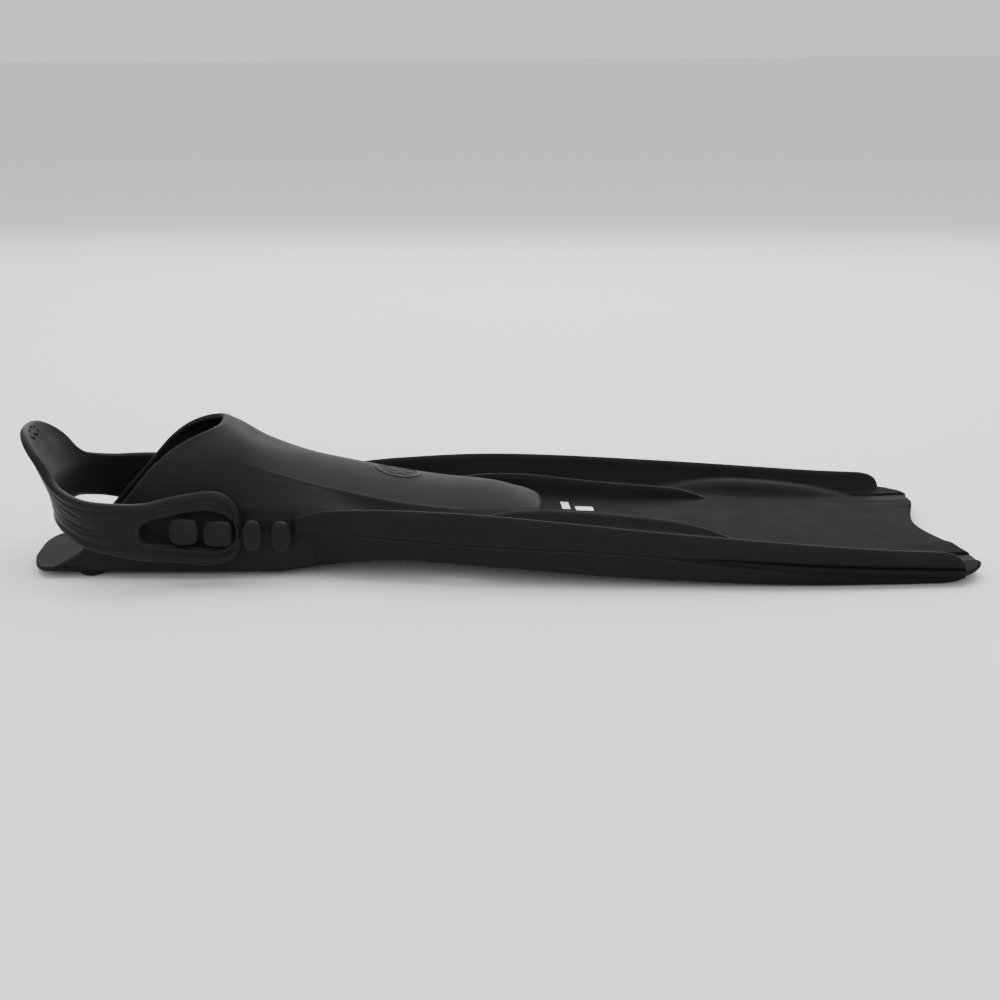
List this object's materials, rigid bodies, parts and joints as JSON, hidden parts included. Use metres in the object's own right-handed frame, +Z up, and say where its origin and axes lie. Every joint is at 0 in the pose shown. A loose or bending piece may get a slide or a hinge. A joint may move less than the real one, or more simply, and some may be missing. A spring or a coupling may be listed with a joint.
{
  "type": "open-heel swim fin",
  "caption": "Open-heel swim fin: closed-toe foot pocket, ribbed rails along a cupping notched blade, and a rubber heel strap hooked on side pegs.",
  "frame": {"origin": "bottom centre of the whole fin's bounding box, on the surface that the fin rests on", "axes": "+X from the heel to the blade's tip, +Y to the wearer's left, +Z up from the sole to the instep"},
  "size_m": [0.6458, 0.217, 0.0978],
  "materials": {
    "pocket_rubber": "satin, near black, faintly mottled",
    "sole_plastic": "matte black",
    "pad_rubber": "matte black",
    "blade_plastic": "satin, brownish black",
    "insert_rubber": "satin black",
    "rail_rubber": "satin, bluish black",
    "rib_rubber": "satin black",
    "peg_plastic": "matte black, moulded",
    "badge_plastic": "semi-gloss black",
    "strap_rubber": "satin black rubber"
  },
  "bodies": {
    "fin": {"foot_pocket": "pocket_rubber", "sole_plate": "sole_plastic", "heel_pads": "pad_rubber", "blade_panel": "blade_plastic", "channel_insert_left": "insert_rubber", "channel_insert_right": "insert_rubber", "rail_upper_left": "rail_rubber", "rail_upper_right": "rail_rubber", "rail_lower_left": "rail_rubber", "rail_lower_right": "rail_rubber", "toe_rib_left": "rib_rubber", "toe_rib_right": "rib_rubber", "strap_peg_left_1": "peg_plastic", "strap_peg_left_2": "peg_plastic", "strap_peg_left_3": "peg_plastic", "strap_peg_left_4": "peg_plastic", "strap_peg_right_1": "peg_plastic", "strap_peg_right_2": "peg_plastic", "strap_peg_right_3": "peg_plastic", "strap_peg_right_4": "peg_plastic", "instep_badge": "badge_plastic"},
    "strap": {"heel_strap": "strap_rubber"}
  },
  "joints": [
    {"name": "strap_swing", "type": "hinge", "parent": "fin", "child": "strap", "pos_m": [-0.185, 0, 0.0362], "axis": [0, 1, 0], "range_deg": [-3, 12]}
  ]
}
